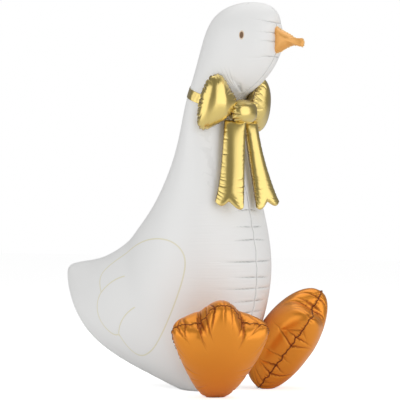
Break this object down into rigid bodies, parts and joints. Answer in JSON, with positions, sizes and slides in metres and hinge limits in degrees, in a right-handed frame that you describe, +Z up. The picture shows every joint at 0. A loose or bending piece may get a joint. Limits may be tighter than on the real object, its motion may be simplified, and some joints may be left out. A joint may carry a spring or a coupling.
{
  "type": "sitting goose foil balloon",
  "caption": "Inflated foil goose that sits upright on its belly, with a beak, a bow on a neck band, and webbed feet turned up.",
  "frame": {"origin": "on the floor, on the flat spot that the belly rests on", "axes": "+Z up; the goose faces -Y; +X is its own left side"},
  "size_m": [0.723, 0.9311, 1.2373],
  "materials": {
    "white_foil": "satin white metallised film",
    "pale_orange_foil": "satin pale orange metallised film",
    "orange_foil": "satin orange metallised film",
    "gold_foil": "bright gold metallised film"
  },
  "bodies": {
    "root": {"body": "white_foil", "beak": "pale_orange_foil", "foot_right": "orange_foil", "foot_left": "orange_foil", "neck_band": "gold_foil", "bow_knot": "gold_foil", "bow_loop_right": "gold_foil", "bow_loop_left": "gold_foil", "bow_tail_right": "gold_foil", "bow_tail_left": "gold_foil"}
  },
  "joints": []
}
